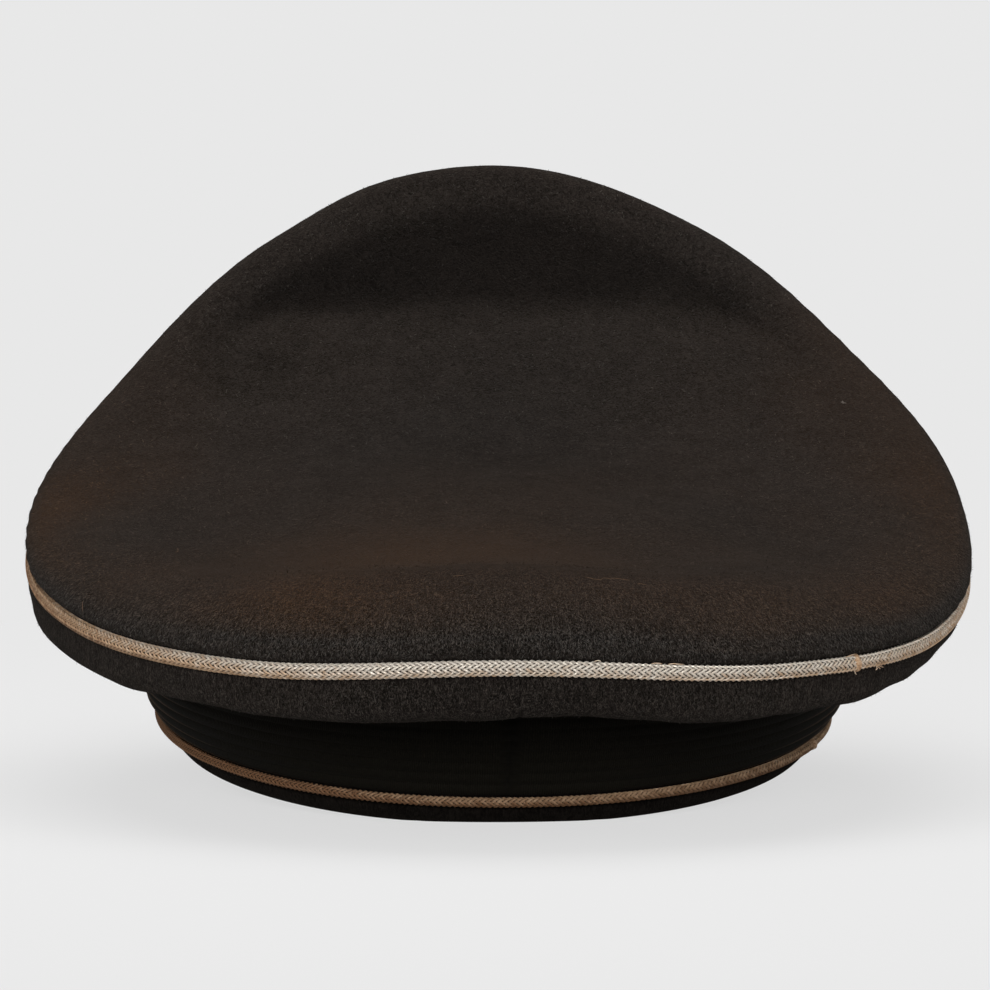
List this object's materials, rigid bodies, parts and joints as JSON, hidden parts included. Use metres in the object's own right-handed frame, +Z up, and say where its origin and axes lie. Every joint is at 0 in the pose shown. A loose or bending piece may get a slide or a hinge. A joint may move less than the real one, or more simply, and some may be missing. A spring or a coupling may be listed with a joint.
{
  "type": "peaked cap",
  "caption": "Dark wool peaked cap with a high front, soft saddle-shaped crown, ribbed black band, braided metal piping and a glossy peak, resting on its peak and the back of its band",
  "frame": {"origin": "on the floor that the cap rests on, under the middle of its box", "axes": "+Z up; the cap faces -Y, so +Y is the centre back and -X is the wearer's right"},
  "size_m": [0.24, 0.2936, 0.16],
  "materials": {
    "wool": "felted dark grey-brown wool with a short nap",
    "ribbed_mohair": "black mohair woven in level ribs",
    "metal_braid": "aluminium thread braided over a cord, tarnished brown",
    "peak_gloss": "black lacquered fibre with a raised edge"
  },
  "bodies": {
    "root": {"band_core": "wool", "ribbed_band": "ribbed_mohair", "lower_band_piping": "metal_braid", "upper_band_piping": "metal_braid", "side_panel_rear_left": "wool", "side_panel_front_left": "wool", "side_panel_front_right": "wool", "side_panel_rear_right": "wool", "rim_piping": "metal_braid", "crown_top": "wool", "peak": "peak_gloss"}
  },
  "joints": []
}
